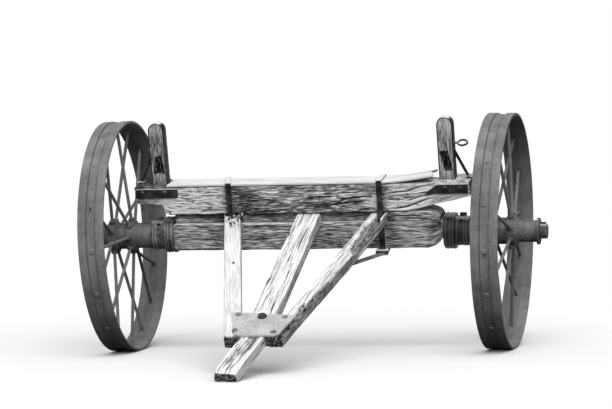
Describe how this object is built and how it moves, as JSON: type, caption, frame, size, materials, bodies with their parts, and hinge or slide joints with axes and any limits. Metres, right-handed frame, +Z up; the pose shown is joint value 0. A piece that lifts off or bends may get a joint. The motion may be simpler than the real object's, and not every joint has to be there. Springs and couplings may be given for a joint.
{
  "type": "wagon rear axle gear",
  "caption": "Rear gear of a farm wagon: spoked steel wheels, timber axle and bolster with stakes, and hounds with a broken reach whose tip rests on the ground.",
  "frame": {"origin": "On the ground, in the middle of the footprint of the gear as it stands on its wheels and on the tip of its reach.", "axes": "+X runs along the axle to the right wheel, -Y runs to the front, where the reach points, and +Z is up."},
  "size_m": [1.7756, 1.634, 0.866],
  "materials": {
    "dark_timber": "weathered, split, unpainted",
    "pale_timber": "sun-bleached, cracked along the grain",
    "cast_iron": "rough casting, rusted",
    "strap_iron": "forged, rusted",
    "plate_iron": "dull, weathered smooth",
    "wheel_steel": "rolled steel, rusted"
  },
  "bodies": {
    "gear": {"axle_beam": "dark_timber", "axle_nut_left": "cast_iron", "axle_nut_right": "cast_iron", "bolster": "dark_timber", "bolster_slab": "pale_timber", "clip_bar_left": "strap_iron", "clip_bar_right": "strap_iron", "clip_left": "strap_iron", "clip_right": "strap_iron", "end_plate_back_left": "strap_iron", "end_plate_back_right": "strap_iron", "end_plate_front_left": "strap_iron", "end_plate_front_right": "strap_iron", "hound_iron_left": "strap_iron", "hound_iron_right": "strap_iron", "hound_left": "pale_timber", "hound_plate_bottom": "plate_iron", "hound_plate_top": "plate_iron", "hound_right": "pale_timber", "reach": "pale_timber", "reach_pin": "strap_iron", "reach_stub": "pale_timber", "riser_blocks": "dark_timber", "skein_left": "cast_iron", "skein_right": "cast_iron", "stake_band_left": "strap_iron", "stake_band_right": "strap_iron", "stake_brace_left": "strap_iron", "stake_brace_right": "strap_iron", "stake_eye_right": "strap_iron", "stake_left": "dark_timber", "stake_right": "dark_timber"},
    "wheel_left": {"tyre_left": "wheel_steel", "hub_left": "cast_iron", "spokes_inner_left": "wheel_steel", "spokes_outer_left": "wheel_steel"},
    "wheel_right": {"tyre_right": "wheel_steel", "hub_right": "cast_iron", "spokes_inner_right": "wheel_steel", "spokes_outer_right": "wheel_steel"}
  },
  "joints": [
    {"name": "wheel_left_spin", "type": "hinge", "parent": "gear", "child": "wheel_left", "pos_m": [-0.7215, 0.38496, 0.433], "axis": [0.9997, 0, 0.0227], "continuous": true},
    {"name": "wheel_right_spin", "type": "hinge", "parent": "gear", "child": "wheel_right", "pos_m": [0.7215, 0.38496, 0.433], "axis": [0.9997, 0, -0.0227], "continuous": true}
  ]
}
